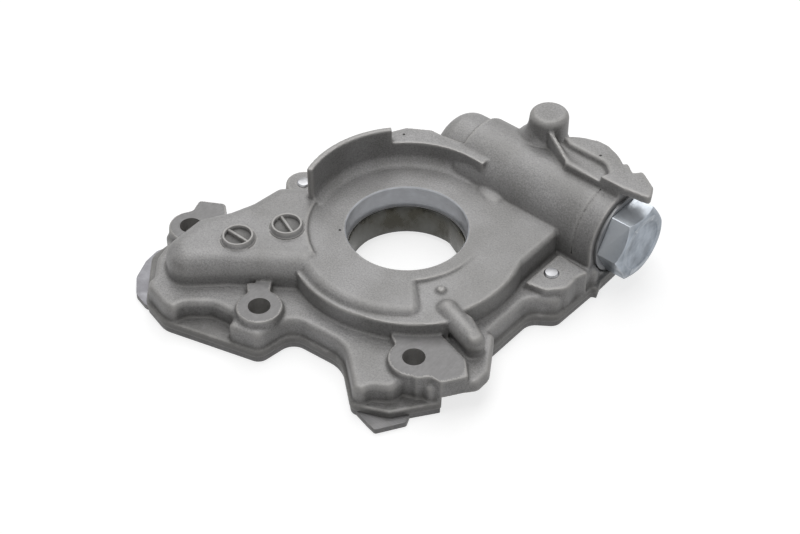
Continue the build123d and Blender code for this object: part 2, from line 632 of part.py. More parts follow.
def build_plug():
    """Hex plug of the relief valve: chamfered head, threaded shank and a cup that holds the spring."""
    seat = TUBE_END + WASHER_THICK
    shank = along_x(THREAD_R - THREAD_GAP, THREAD_START + THREAD_RELIEF, seat)
    return hex_head() + shank - along_x(PLUG_CUP_R, THREAD_START, seat - PLUG_CUP_FLOOR)


def build_washer():
    """Sealing ring between the plug head and the end of the tube."""
    hole = along_x(THREAD_R + THREAD_GAP, TUBE_END - OVERCUT, TUBE_END + WASHER_THICK + OVERCUT)
    return along_x(WASHER_R, TUBE_END, TUBE_END + WASHER_THICK) - hole


def main():
    """Build every piece and write each one to its own file."""
    parts = {
        "pump_housing": build_housing(),
        "rear_cover": build_cover(),
        "inner_rotor": build_inner_rotor(),
        "outer_rotor": build_outer_rotor(),
        "relief_piston": build_piston(),
        "relief_spring": build_spring(),
        "relief_plug": build_plug(),
        "plug_washer": build_washer(),
    }
    for number, (place, tip) in enumerate(screw_places(), start=1):
        parts[f"cover_screw_{number}"] = build_screw(place, tip)
    os.makedirs("parts", exist_ok=True)
    for name, part in parts.items():
        export_step(part, f"parts/{name}.step")


main()
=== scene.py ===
"""Looks of the engine oil pump: a cast skin on its housing, finishes, studio and camera.

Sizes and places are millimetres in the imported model's frame, and become metres where a mesh or
a pattern is made. Only the studio round the pump is given in metres.
"""

import json
import logging
import math
from dataclasses import dataclass
from enum import Enum

import bmesh
import bpy
import numpy as np
from mathutils import Matrix, Vector


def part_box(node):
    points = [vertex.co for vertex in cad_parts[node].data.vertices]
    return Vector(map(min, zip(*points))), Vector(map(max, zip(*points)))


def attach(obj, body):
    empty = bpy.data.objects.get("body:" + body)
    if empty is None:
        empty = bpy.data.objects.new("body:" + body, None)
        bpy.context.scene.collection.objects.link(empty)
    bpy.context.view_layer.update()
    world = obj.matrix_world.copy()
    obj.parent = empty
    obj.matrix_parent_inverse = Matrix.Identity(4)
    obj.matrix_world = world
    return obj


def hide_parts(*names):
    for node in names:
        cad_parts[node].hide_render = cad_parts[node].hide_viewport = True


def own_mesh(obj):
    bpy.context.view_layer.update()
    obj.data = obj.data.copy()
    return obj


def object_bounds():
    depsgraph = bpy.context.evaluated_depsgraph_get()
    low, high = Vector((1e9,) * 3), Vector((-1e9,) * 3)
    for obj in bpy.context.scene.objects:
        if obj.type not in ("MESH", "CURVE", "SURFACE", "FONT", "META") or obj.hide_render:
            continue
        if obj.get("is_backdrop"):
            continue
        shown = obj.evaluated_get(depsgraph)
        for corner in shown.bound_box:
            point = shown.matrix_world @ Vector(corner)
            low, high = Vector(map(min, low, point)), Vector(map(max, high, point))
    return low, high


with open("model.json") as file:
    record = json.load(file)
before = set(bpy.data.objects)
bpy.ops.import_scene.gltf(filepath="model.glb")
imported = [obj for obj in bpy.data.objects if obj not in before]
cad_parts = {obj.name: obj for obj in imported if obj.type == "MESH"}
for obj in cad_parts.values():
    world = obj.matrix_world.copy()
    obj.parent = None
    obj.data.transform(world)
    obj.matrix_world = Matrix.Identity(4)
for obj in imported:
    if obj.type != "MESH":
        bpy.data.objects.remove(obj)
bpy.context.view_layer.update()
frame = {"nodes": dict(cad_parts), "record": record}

log = logging.getLogger("oil_pump")

MM = 0.001
ROUND_STEPS = 96
HOLE_STEPS = 48
WELD = 0.002
SLIVER = 0.001

Colour = tuple[float, float, float, float]
Place = tuple[float, float, float]
Spot = tuple[float, float]
Profile = list[tuple[float, float]]
Socket = bpy.types.NodeSocket
Amount = Socket | float
Tint = Socket | Colour

WHITE: Colour = (1.0, 1.0, 1.0, 1.0)
VALVE_AXIS = Vector((0.0, 54.0, 20.0))


class Axis(Enum):
    """Direction that a turned form points along."""

    UP = "Z"
    VALVE = "X"


class Skin(Enum):
    """Material places on the housing, in the order of its mesh's material list."""

    CAST = 0
    TURNED = 1
    MILLED = 2


def mount(name: str) -> dict:
    """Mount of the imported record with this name."""
    return next(m for m in frame["record"]["mounts"] if m["name"] == name)


def middle(node: str) -> Vector:
    """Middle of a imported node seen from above, at height nought."""
    low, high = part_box(node)
    return Vector(((low.x + high.x) / 2, (low.y + high.y) / 2, 0)) / MM


def rgb(red: float, green: float, blue: float) -> Colour:
    """Colour of the three 0 to 255 values that a screen shows, by the sRGB curve.

    Args:
        red: Red as shown.
        green: Green as shown.
        blue: Blue as shown.

    Returns:
        The linear colour, opaque.
    """
    shown = (red / 255, green / 255, blue / 255)
    linear = [c / 12.92 if c <= 0.04045 else ((c + 0.055) / 1.055) ** 2.4 for c in shown]
    return (*linear, 1.0)


# ---- Shading -------------------------------------------------------------------------------


class Nodes:
    """Shader node tree, with short ways to add nodes and join them."""

    def __init__(self, tree: bpy.types.NodeTree) -> None:
        """Take a tree and empty it."""
        self.tree = tree
        self.tree.nodes.clear()

    def add(self, kind: str, inputs: dict | None = None, **settings: object) -> bpy.types.Node:
        """Add a node.

        Args:
            kind: Blender's name of the node type.
            inputs: Values or source sockets by input name or number.
            settings: Attributes set on the node itself.

        Returns:
            The new node.
        """
        node = self.tree.nodes.new(kind)
        for key, value in settings.items():
            setattr(node, key, value)
        for key, value in (inputs or {}).items():
            if isinstance(value, Socket):
                self.tree.links.new(value, node.inputs[key])
            else:
                node.inputs[key].default_value = value
        return node

    def span(
        self, source: Socket, low: float, high: float, start: float = 0.0, end: float = 1.0
    ) -> Socket:
        """Map a source from low..high onto start..end, held at both ends."""
        ends = {"From Min": low, "From Max": high, "To Min": start, "To Max": end}
        return self.add("ShaderNodeMapRange", {"Value": source, **ends}).outputs[0]

    def math(self, operation: str, first: Amount, second: Amount) -> Socket:
        """Result of one sum on two sockets or numbers."""
        return self.add("ShaderNodeMath", {0: first, 1: second}, operation=operation).outputs[0]

    def seen(self) -> Socket:
        """Tell the rays that show a surface to the eye, in a mirror or through glass.

        Returns:
            One for such a ray, and nought for any other.
        """
        rays = self.add("ShaderNodeLightPath").outputs
        mirrored = self.math("MAXIMUM", rays["Is Camera Ray"], rays["Is Glossy Ray"])
        return self.math("MAXIMUM", mirrored, rays["Is Transmission Ray"])


class Shading(Nodes):
    """Node tree of one material, whose patterns follow the object's own coordinates."""

    def __init__(self, name: str) -> None:
        """Start an empty tree for a new material.

        Args:
            name: Name of the material.
        """
        self.material = bpy.data.materials.new(name)
        self.material.use_nodes = True
        super().__init__(self.material.node_tree)
        self.place = self.add("ShaderNodeTexCoord").outputs["Object"]

    def stretched(self, scale: Place) -> Socket:
        """Object coordinates scaled differently along each axis."""
        inputs = {"Vector": self.place, "Scale": scale}
        return self.add("ShaderNodeMapping", inputs).outputs[0]

    def noise(self, size: float, detail: float = 2.0, place: Socket | None = None) -> Socket:
        """Soft random pattern with spots about this many millimetres wide."""
        inputs = {"Vector": place or self.place, "Scale": 1 / (size * MM), "Detail": detail}
        return self.add("ShaderNodeTexNoise", inputs).outputs[0]

    def cells(self, size: float) -> Socket:
        """Distance to the nearest of random points about this many millimetres apart."""
        inputs = {"Vector": self.place, "Scale": 1 / (size * MM)}
        return self.add("ShaderNodeTexVoronoi", inputs).outputs["Distance"]

    def away(self, point: Place) -> Socket:
        """Distance in metres from a point in millimetres."""
        inputs = {0: self.place, 1: tuple(c * MM for c in point)}
        return self.add("ShaderNodeVectorMath", inputs, operation="DISTANCE").outputs["Value"]

    def sharpness(self) -> Socket:
        """Half on flat ground, more on an edge and less in a corner."""
        return self.add("ShaderNodeNewGeometry").outputs["Pointiness"]

    def contrast(
        self, noise: Socket, reach: float, start: float = 0.0, end: float = 1.0
    ) -> Socket:
        """Map the middle of a noise, this far to each side of a half, onto start..end."""
        return self.span(noise, 0.5 - reach, 0.5 + reach, start, end)

    def mix(self, factor: Amount, first: Tint, second: Tint, blend: str = "MIX") -> Socket:
        """Colour between two colours."""
        inputs = {0: factor, 6: first, 7: second}
        return self.add("ShaderNodeMix", inputs, data_type="RGBA", blend_type=blend).outputs[2]

    def dimmed(self, colour: Socket, by: Socket) -> Socket:
        """Colour made lighter or darker by a factor."""
        factor = self.add("ShaderNodeCombineColor", {0: by, 1: by, 2: by}).outputs[0]
        return self.mix(1.0, colour, factor, "MULTIPLY")

    def bump(
        self, height: Socket, depth: float, strength: float, under: Socket | None = None
    ) -> Socket:
        """Tilt the surface by a height pattern.

        Args:
            height: The pattern, 0 to 1.
            depth: Height of one, in millimetres.
            strength: Share of the effect that is used.
            under: Another bump that this one lies on.

        Returns:
            The surface normal.
        """
        inputs = {"Height": height, "Distance": depth * MM, "Strength": strength}
        if under is not None:
            inputs["Normal"] = under
        return self.add("ShaderNodeBump", inputs).outputs[0]

    def surface(self, **inputs: object) -> bpy.types.Material:
        """Close the tree with one principled surface.

        Args:
            inputs: Inputs of the surface by name, with underscores for spaces.

        Returns:
            The finished material.
        """
        named = {key.replace("_", " "): value for key, value in inputs.items()}
        shader = self.add("ShaderNodeBsdfPrincipled", named)
        self.add("ShaderNodeOutputMaterial", {"Surface": shader.outputs[0]})
        return self.material


@dataclass(frozen=True)
class CastAluminium:
    """Shot-blasted die casting: sandy grain, cloudy stains, edges partly worn and partly a painted
    highlight, painted shade in corners and low down, and a few blow holes filled with painted
    shade.
    """

    name: str = "cast_aluminium"
    pale: Colour = rgb(147, 146, 146)
    dark: Colour = rgb(134, 133, 132)
    # Lighter colour of convex edges: partly worn metal, partly a painted highlight.
    edge: Colour = rgb(176, 174, 171)
    # Painted shade, for corners, creases and the low part of the casting.
    painted_shade: Colour = rgb(80, 79, 76)
    # Painted shade inside the blow holes.
    painted_pit_shade: Colour = rgb(30, 29, 27)
    cloud_size: float = 17.0
    grain_size: float = 0.75
    speck_size: float = 0.42
    dimple_size: float = 2.6
    grain_depth: float = 0.14
    # Strength of the lighter edges (partly wear, partly a painted highlight) and of the painted
    # shade in corners.
    wear_highlight_and_shade: float = 0.6
    # Painted shade low on the casting: its strength, pattern size, wander and the heights where it
    # starts and where it is full.
    low_shade: float = 0.55
    low_shade_size: float = 5.0
    low_shade_wander: float = 1.5
    low_shade_from: float = 9.5
    low_shade_to: float = 5.0
    hole_depth: float = 0.5
    hole_floor: float = 0.6
    metallic: float = 0.3
    blow_holes: tuple[tuple[Place, float], ...] = (
        ((-18.4, -17.9, 24.0), 0.55),
        ((-29.4, 32.8, 33.9), 0.6),
        ((44.2, 62.4, 44.0), 0.6),
        ((9.5, 60.5, 36.8), 0.35),
        ((33.0, -66.0, 9.0), 0.5),
    )

    def make(self) -> bpy.types.Material:
        """Build the material.

        Returns:
            The material.
        """
        s = Shading(self.name)
        grain = s.noise(self.grain_size, 3.0)
        specks = s.contrast(s.noise(self.speck_size, 1.0), 0.16, 0.88, 1.13)
        sharp = s.sharpness()
        holes = self.holes(s)
        colour = s.mix(s.contrast(s.noise(self.cloud_size, 3.0), 0.14), self.dark, self.pale)
        colour = s.dimmed(colour, s.math("MULTIPLY", s.contrast(grain, 0.2, 0.8, 1.17), specks))
        # Convex edges lighter: partly worn metal, partly a painted highlight.
        colour = s.mix(s.span(sharp, 0.501, 0.53, 0.0, self.wear_highlight_and_shade), colour, self.edge)
        # Painted shade in concave corners and creases.
        colour = s.mix(s.span(sharp, 0.499, 0.465, 0.0, self.wear_highlight_and_shade), colour, self.painted_shade)
        # Painted shade low on the casting.
        colour = s.mix(self.painted_low_shade(s), colour, self.painted_shade)
        # Painted shade in the blow holes; the bump below sinks them.
        colour = s.mix(holes, colour, self.painted_pit_shade)
        dimples = s.math("MULTIPLY", s.noise(self.dimple_size, 2.0), 0.6)
        height = s.math("ADD", s.math("MULTIPLY", grain, 0.7), dimples)
        normal = s.bump(height, self.grain_depth, 0.9)
        normal = s.bump(s.math("SUBTRACT", 1.0, holes), self.hole_depth, 1.0, normal)
        rough = s.contrast(grain, 0.2, 0.42, 0.58)
        return s.surface(
            Base_Color=colour, Roughness=rough, Normal=normal, Metallic=self.metallic
        )

    def painted_low_shade(self, s: Shading) -> Socket:
        """Painted shade low on the casting, with an uneven upper edge.

        Args:
            s: Tree that the nodes go into.

        Returns:
            Share of painted shade.
        """
        height = s.add("ShaderNodeSeparateXYZ", {0: s.place}).outputs[2]
        reach = self.low_shade_wander * MM
        wander = s.contrast(s.noise(self.low_shade_size, 3.0), 0.2, -reach, reach)
        level = s.math("ADD", height, wander)
        return s.span(level, self.low_shade_from * MM, self.low_shade_to * MM, 0.0, self.low_shade)

    def holes(self, s: Shading) -> Socket:
        """Mask of the blow holes, which sinks them and fills them with painted shade.

        Args:
            s: Tree that the nodes go into.

        Returns:
            One in a hole and nought elsewhere.
        """
        mask: Amount = 0.0
        for centre, radius in self.blow_holes:
            hole = s.span(s.away(centre), radius * MM, self.hole_floor * radius * MM)
            mask = s.math("MAXIMUM", mask, hole)
        return mask


@dataclass(frozen=True)
class MachinedMetal:
    """Metal left by a cutting tool: fine parallel or round tool lines over a slight haze."""

    name: str
    colour: Colour
    shade: Colour
    roughness: float = 0.34
    metallic: float = 0.85
    line: float = 0.35
    stretch: Place = (0.05, 0.05, 1.0)
    depth: float = 0.02
    haze_size: float = 6.0

    def make(self) -> bpy.types.Material:
        """Build the material.

        Returns:
            The material.
        """
        s = Shading(self.name)
        lines = s.noise(self.line, 2.0, s.stretched(self.stretch))
        haze = s.noise(self.haze_size, 4.0)
        colour = s.mix(s.contrast(haze, 0.15), self.shade, self.colour)
        colour = s.mix(s.contrast(lines, 0.15, 0.0, 0.35), colour, self.shade)
        hazy = s.contrast(haze, 0.2, self.roughness - 0.05, self.roughness + 0.07)
        rough = s.math("ADD", s.contrast(lines, 0.2, -0.06, 0.06), hazy)
        normal = s.bump(lines, self.depth, 0.8)
        return s.surface(
            Base_Color=colour, Roughness=rough, Normal=normal, Metallic=self.metallic
        )


@dataclass(frozen=True)
class StampedCover:
    """Ground sheet steel, pale at its left ear and darker round its right ear."""

    name: str = "cover_steel"
    pale: Colour = rgb(174, 174, 179)
    shade: Colour = rgb(148, 147, 152)
    # Darker tone, used round the right ear and for small flecks.
    dark_tone: Colour = rgb(108, 107, 105)
    darkening_place: Place = (44.9, -68.2, 2.3)
    darkening_reach: float = 30.0
    darkening_core: float = 12.0
    darkening_wander: float = 6.0
    line: float = 0.5
    stretch: Place = (0.08, 1.0, 1.0)
    haze_size: float = 5.0
    fleck_size: float = 0.8
    metallic: float = 0.35

    def make(self) -> bpy.types.Material:
        """Build the material.

        Returns:
            The material.
        """
        s = Shading(self.name)
        lines = s.noise(self.line, 2.0, s.stretched(self.stretch))
        haze = s.noise(self.haze_size, 4.0)
        reach = self.darkening_wander * MM
        away = s.math("ADD", s.away(self.darkening_place), s.contrast(haze, 0.2, -reach, reach))
        near = s.span(away, self.darkening_reach * MM, self.darkening_core * MM)
        flecks = s.span(s.noise(self.fleck_size, 3.0), 0.62, 0.72, 0.0, 0.35)
        colour = s.mix(s.contrast(haze, 0.15), self.shade, self.pale)
        # Darker round the right ear, fading out with distance.
        colour = s.mix(s.math("MULTIPLY", near, 0.9), colour, self.dark_tone)
        colour = s.mix(s.contrast(lines, 0.15, 0.0, 0.3), colour, self.shade)
        colour = s.mix(flecks, colour, self.dark_tone)
        hazy = s.contrast(haze, 0.2, 0.44, 0.56)
        rough = s.math("ADD", s.contrast(lines, 0.2, -0.05, 0.05), hazy)
        normal = s.bump(lines, 0.02, 0.8)
        return s.surface(
            Base_Color=colour, Roughness=rough, Normal=normal, Metallic=self.metallic
        )


@dataclass(frozen=True)
class ZincPlate:
    """Bright zinc plating with a cool tint, dull patches, small rubs and a painted highlight on
    edges.
    """

    name: str = "zinc_plated_steel"
    bright: Colour = rgb(150, 158, 168)
    dull: Colour = rgb(124, 131, 139)
    # Painted highlight on the plug's convex edges.
    edge: Colour = rgb(226, 230, 234)
    patch_size: float = 7.0
    rub_size: float = 0.5
    rub_stretch: Place = (1.0, 0.12, 1.0)
    wave_size: float = 2.4
    wave_depth: float = 0.03
    metallic: float = 0.92

    def make(self) -> bpy.types.Material:
        """Build the material.

        Returns:
            The material.
        """
        s = Shading(self.name)
        patch = s.contrast(s.noise(self.patch_size, 5.0), 0.12)
        rubs = s.noise(self.rub_size, 3.0, s.stretched(self.rub_stretch))
        colour = s.mix(patch, self.dull, self.bright)
        # Painted highlight on convex edges.
        colour = s.mix(s.span(s.sharpness(), 0.51, 0.57, 0.0, 0.7), colour, self.edge)
        rubbed = s.contrast(rubs, 0.15, -0.04, 0.05)
        rough = s.math("ADD", s.span(patch, 0.0, 1.0, 0.43, 0.35), rubbed)
        normal = s.bump(s.noise(self.wave_size, 1.0), self.wave_depth, 0.5)
        return s.surface(
            Base_Color=colour, Roughness=rough, Normal=normal, Metallic=self.metallic
        )


@dataclass(frozen=True)
class OiledSteel:
    """Dark sintered or tempered steel with a thin uneven film of oil."""

    name: str
    colour: Colour = rgb(92, 92, 88)
    film: Colour = rgb(64, 62, 54)
    pore: Colour = rgb(34, 33, 30)
    pore_size: float = 0.45
    pore_depth: float = 0.02
    oil_size: float = 9.0
    metallic: float = 0.7

    def make(self) -> bpy.types.Material:
        """Build the material.

        Returns:
            The material.
        """
        s = Shading(self.name)
        pores = s.span(s.cells(self.pore_size), 0.0, 0.45)
        oil = s.contrast(s.noise(self.oil_size, 4.0), 0.1)
        colour = s.mix(oil, self.film, self.colour)
        colour = s.mix(s.span(pores, 0.25, 0.0, 0.0, 0.45), colour, self.pore)
        dry = s.span(oil, 0.0, 1.0, 0.26, 0.44)
        rough = s.math("ADD", dry, s.span(pores, 0.0, 1.0, 0.05, -0.04))
        normal = s.bump(pores, self.pore_depth, 0.7)
        return s.surface(
            Base_Color=colour, Roughness=rough, Normal=normal, Metallic=self.metallic
        )


class Finishes:
    """Every finish of the pump, each built once and handed out by its slot name."""

    def __init__(self) -> None:
        """Build all the materials."""
        around_valve = (1.0, 0.05, 0.05)
        plans = [
            CastAluminium(),
            MachinedMetal(
                "turned_aluminium", rgb(208, 211, 216), rgb(186, 188, 193),
                roughness=0.36, metallic=0.3, line=0.3,
            ),
            MachinedMetal(
                "milled_aluminium", rgb(138, 137, 137), rgb(122, 121, 121),
                roughness=0.52, metallic=0.25, line=0.7, stretch=(1.0, 0.35, 1.0), depth=0.05,
            ),
            StampedCover(),
            MachinedMetal(
                "sheared_steel", rgb(128, 127, 127), rgb(104, 103, 103),
                roughness=0.5, metallic=0.45, line=0.5, stretch=(1.0, 1.0, 0.15),
            ),
            OiledSteel("sintered_steel"),
            OiledSteel("spring_steel", rgb(96, 97, 100), rgb(60, 58, 54)),
            MachinedMetal(
                "ground_steel", rgb(180, 181, 184), rgb(150, 151, 155),
                roughness=0.2, metallic=0.95, line=0.25, stretch=around_valve,
            ),
            ZincPlate(),
            MachinedMetal(
                "washer_aluminium", rgb(146, 147, 149), rgb(122, 123, 125),
                roughness=0.42, metallic=0.6, line=0.3, stretch=around_valve,
            ),
            MachinedMetal(
                "screw_steel", rgb(178, 179, 181), rgb(132, 132, 134),
                roughness=0.3, metallic=0.9, line=0.4,
            ),
        ]
        self.made = {plan.name: plan.make() for plan in plans}

    def __getitem__(self, name: str) -> bpy.types.Material:
        """Material of this slot."""
        return self.made[name]


# ---- Mesh helpers --------------------------------------------------------------------------


def new_object(name: str, mesh: bmesh.types.BMesh) -> bpy.types.Object:
    """Object of a finished mesh.

    Args:
        name: Name of the new object.
        mesh: Its mesh, which is used up.

    Returns:
        The new object, linked to the scene.
    """
    data = bpy.data.meshes.new(name)
    mesh.to_mesh(data)
    mesh.free()
    made = bpy.data.objects.new(name, data)
    bpy.context.scene.collection.objects.link(made)
    return made


def turned_mesh(
    name: str, profile: Profile, centre: Vector, axis: Axis = Axis.UP, steps: int = ROUND_STEPS
) -> bpy.types.Object:
    """Closed round solid about an axis, as a lathe turns it.

    Args:
        name: Name of the new object.
        profile: Radius and distance along the axis of each corner, ending on the axis or
            closing on itself.
        centre: Point on the axis that distances start from.
        axis: Direction of the axis.
        steps: Flats round the axis.

    Returns:
        The new object, linked to the scene.
    """
    mesh = bmesh.new()
    rings = []
    for radius, along in profile:
        ring = []
        for k in range(steps if radius else 1):
            turn = 2 * math.pi * k / steps
            # Metres before the sum: a cutter then meets a packed face exactly, with no sliver.
            spot = Vector((radius * MM * math.cos(turn), radius * MM * math.sin(turn), along * MM))
            if axis is Axis.VALVE:
                spot = Vector((spot.z, spot.x, spot.y))
            ring.append(mesh.verts.new(centre * MM + spot))
        rings.append(ring)
    for lower, upper in zip(rings, rings[1:] + rings[:1]):
        for k in range(steps):
            n = k + 1
            corners = (
                lower[k % len(lower)], lower[n % len(lower)],
                upper[n % len(upper)], upper[k % len(upper)],
            )
            loop = list(dict.fromkeys(corners))
            if len(loop) > 2:
                mesh.faces.new(loop)
    bmesh.ops.recalc_face_normals(mesh, faces=mesh.faces)
    return new_object(name, mesh)


def node_copy(node: str, name: str) -> bpy.types.Object:
    """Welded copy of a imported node, free to be changed.

    Args:
        node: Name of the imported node.
        name: Name of the copy.

    Returns:
        The copy, linked to the scene.
    """
    mesh = bmesh.new()
    mesh.from_mesh(frame["nodes"][node].data)
    bmesh.ops.remove_doubles(mesh, verts=mesh.verts, dist=WELD * MM)
    bmesh.ops.dissolve_degenerate(mesh, edges=mesh.edges, dist=SLIVER * MM)
    return new_object(name, mesh)


def settle(piece: bpy.types.Object) -> None:
    """Turn a piece's modifiers into its mesh.

    Args:
        piece: The piece.
    """
    graph = bpy.context.evaluated_depsgraph_get()
    data = bpy.data.meshes.new_from_object(piece.evaluated_get(graph))
    piece.modifiers.clear()
    piece.data = data


def joined(name: str, parts: list[bpy.types.Object]) -> bpy.types.Object:
    """One object of several.

    Args:
        name: Name of the whole.
        parts: The objects, of which the first is kept and the rest are removed.

    Returns:
        The whole.
    """
    whole = parts[0]
    with bpy.context.temp_override(active_object=whole, selected_editable_objects=parts):
        bpy.ops.object.join()
    whole.name = whole.data.name = name
    return whole


def cut(piece: bpy.types.Object, tool: bpy.types.Object) -> None:
    """Take a tool's volume out of a piece.

    Args:
        piece: The piece.
        tool: The tool, which is thrown away.
    """
    step = piece.modifiers.new("cut", "BOOLEAN")
    step.operation = "DIFFERENCE"
    step.solver = "MANIFOLD"
    step.object = tool
    settle(piece)
    bpy.data.objects.remove(tool)


def soften(piece: bpy.types.Object, width: float, rings: int = 2, angle: float = 32.0) -> None:
    """Break the sharp edges of a piece.

    Args:
        piece: The piece.
        width: Width of the broken edge, in millimetres.
        rings: Faces across it.
        angle: Least angle of an edge that is broken, in degrees.
    """
    step = piece.modifiers.new("edges", "BEVEL")
    step.width = width * MM
    step.segments = rings
    step.limit_method = "ANGLE"
    step.angle_limit = math.radians(angle)
    step.harden_normals = True
    piece.data.shade_smooth()
    settle(piece)


def smooth(piece: bpy.types.Object, angle: float = 34.0) -> None:
    """Shade a piece smooth, its edges over an angle left crisp."""
    piece.data.shade_smooth()
    piece.data.set_sharp_from_angle(angle=math.radians(angle))


def level_flats(piece: bpy.types.Object, angle: float = 26.0) -> None:
    """Shade large flats level and let only the narrow faces between them turn.

    Args:
        piece: The piece.
        angle: Least angle of an edge that stays crisp, in degrees.
    """
    smooth(piece, angle)
    step = piece.modifiers.new("flats", "WEIGHTED_NORMAL")
    step.weight = 100
    step.keep_sharp = True
    settle(piece)


def dress(piece: bpy.types.Object, material: bpy.types.Material) -> None:
    """Give a piece one finish."""
    piece.data.materials.clear()
    piece.data.materials.append(material)


# ---- Sub-assemblies ------------------------------------------------------------------------


@dataclass
class Housing:
    """Cast housing: the solid softened into a casting, then bored and faced again."""

    finishes: Finishes
    voxel: float = 0.52
    quick_voxels: float = 2.0
    spare: float = 0.45
    filling_under: float = 0.02
    overcut: float = 4.0

    back: float = 2.3
    pad_top: float = 16.5
    hub_top: float = 24.0
    seal_floor: float = 14.5
    seal_chamfer: float = 0.5
    collar_hole: float = 23.08
    pocket_radius: float = 40.08
    pocket_top: float = 13.65
    bolts: tuple[Spot, ...] = ((-70.2, -47.5), (-18.8, -62.5), (41.65, -45.2))
    bolt_pad: float = 19.0
    screw_count: int = 8
    through_screws: int = 2
    screw_hole: float = 3.03
    blind_top: float = 10.1

    feed_radius: float = 7.2
    feed_start: float = -9.0
    valve_radius: float = 9.0
    valve_start: float = -2.5
    thread_radius: float = 12.0
    thread_start: float = 45.0
    tube_end: float = 60.5
    tube_radius: float = 18.0
    groove_x: Spot = (51.6, 52.4)
    groove_depth: float = 0.35
    groove_past: float = 0.4

    crisp_angle: float = 38.0
    seat_rim: float = 0.7
    seat_above: float = 0.01
    pad_reach: float = 0.12
    back_reach: float = 0.15
    wall_level: float = 0.95
    pad_level: float = 0.985
    back_level: float = 0.9

    passes: int = 5
    pad_near: float = 0.9
    pad_softness: float = 0.45
    rim_softness: tuple[Spot, ...] = ((6.4, 0.45), (3.2, 0.12))
    ramp_low: Place = (17.0, 55.2, 40.4)
    ramp_high: Place = (54.0, 69.0, 44.6)
    ramp_passes: int = 22
    post_place: Spot = (16.5, 66.5)
    post_clear: float = 9.6

    post_foot: Place = (15.0, 65.2, 0.0)
    post_flare: tuple[Spot, ...] = (
        (5.8, 45.5), (6.2, 42.5), (7.2, 39.8), (8.8, 37.4),
        (10.6, 35.6), (11.0, 33.0), (11.0, 28.0),
    )
    lump: Place = (12.0, 36.8, 23.9)
    lump_size: Place = (6.8, 4.6, 1.5)
    lump_turn: float = -28.0
    buttress_ends: tuple[tuple[Place, float], ...] = (
        ((38.6, -22.6, 20.3), 4.4),
        ((54.6, -26.6, 18.4), 4.2),
    )

    def __post_init__(self) -> None:
        """Read the seats and screws that the frame gives."""
        self.seal_radius = mount("seal_seat")["dims"]["r_mm"]
        self.bolt_radius = mount("bolt_right")["dims"]["r_mm"]
        self.screws = [middle(f"cover_screw_{k}") for k in range(1, self.screw_count + 1)]

    def build(self) -> list[bpy.types.Object]:
        """Make the casting, with room for its dials.

        Returns:
            The one visible piece.
        """
        casting = self.casting()
        for tool in self.tools(0.0) + [self.groove()] + DateDials(self.finishes).clearances():
            cut(casting, tool)
        self.name_faces(casting)
        smooth(casting, self.crisp_angle)
        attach(casting, "housing")
        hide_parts("pump_housing")
        return [casting]

    def casting(self) -> bpy.types.Object:
        """Housing as it leaves the mould: holes filled, edges and corners rounded.

        Returns:
            The blank that is bored later.
        """
        body = node_copy("pump_housing", "housing_casting")
        blank = joined("housing_casting", [body] + self.swellings() + self.tools(self.spare))
        skin = blank.modifiers.new("skin", "REMESH")
        skin.mode = "VOXEL"
        skin.voxel_size = self.voxel * MM * 1.0
        settle(blank)
        self.name_soft_places(blank)
        for name, passes in (("soft", self.passes), ("ramp", self.ramp_passes)):
            step = blank.modifiers.new(name, "SMOOTH")
            step.factor = 0.5
            step.iterations = passes
            step.vertex_group = name
        settle(blank)
        return blank

    def name_soft_places(self, blank: bpy.types.Object) -> None:
        """Say how far each point may be smoothed: less at pads and rim, more on the disc's ramp.

        Args:
            blank: The unsmoothed skin, which gets the groups "soft" and "ramp".
        """
        points = np.empty(len(blank.data.vertices) * 3)
        blank.data.vertices.foreach_get("co", points)
        points = points.reshape(-1, 3) / MM
        height = points[:, 2]
        share = np.where(np.abs(height - self.pad_top) < self.pad_near, self.pad_softness, 1.0)
        for top, softness in self.rim_softness:
            share = np.where(height < top, softness, share)
        soft = blank.vertex_groups.new(name="soft")
        for level in np.unique(share):
            soft.add([int(k) for k in np.flatnonzero(share == level)], float(level), "REPLACE")
        post = np.hypot(points[:, 0] - self.post_place[0], points[:, 1] - self.post_place[1])
        inside = np.all((points > self.ramp_low) & (points < self.ramp_high), axis=1)
        ramp = np.flatnonzero(inside & (post > self.post_clear))
        blank.vertex_groups.new(name="ramp").add([int(k) for k in ramp], 1.0, "REPLACE")

    def swellings(self) -> list[bpy.types.Object]:
        """Soft forms that only the casting has.

        Returns:
            The flared foot of the post, the lump where hub meets tube and the buttress's head.
        """
        flare = [(0, self.post_flare[0][1]), *self.post_flare, (0, self.post_flare[-1][1])]
        foot = turned_mesh("foot", flare, Vector(self.post_foot))
        lump = bmesh.new()
        bmesh.ops.create_uvsphere(lump, u_segments=32, v_segments=16, radius=1.0)
        turn = Matrix.Rotation(math.radians(self.lump_turn), 4, "Z")
        shape = turn @ Matrix.Diagonal(Vector((*self.lump_size, 1.0)))
        place = Matrix.Scale(MM, 4) @ Matrix.Translation(self.lump)
        bmesh.ops.transform(lump, matrix=place @ shape, verts=lump.verts)
        head = bmesh.new()
        for centre, radius in self.buttress_ends:
            move = Matrix.Translation(Vector(centre) * MM)
            bmesh.ops.create_icosphere(head, subdivisions=3, radius=radius * MM, matrix=move)
        hull = bmesh.ops.convex_hull(head, input=head.verts)
        inner = list({*hull["geom_interior"], *hull["geom_unused"]})
        bmesh.ops.delete(head, geom=inner, context="VERTS")
        return [foot, new_object("lump", lump), new_object("buttress_head", head)]

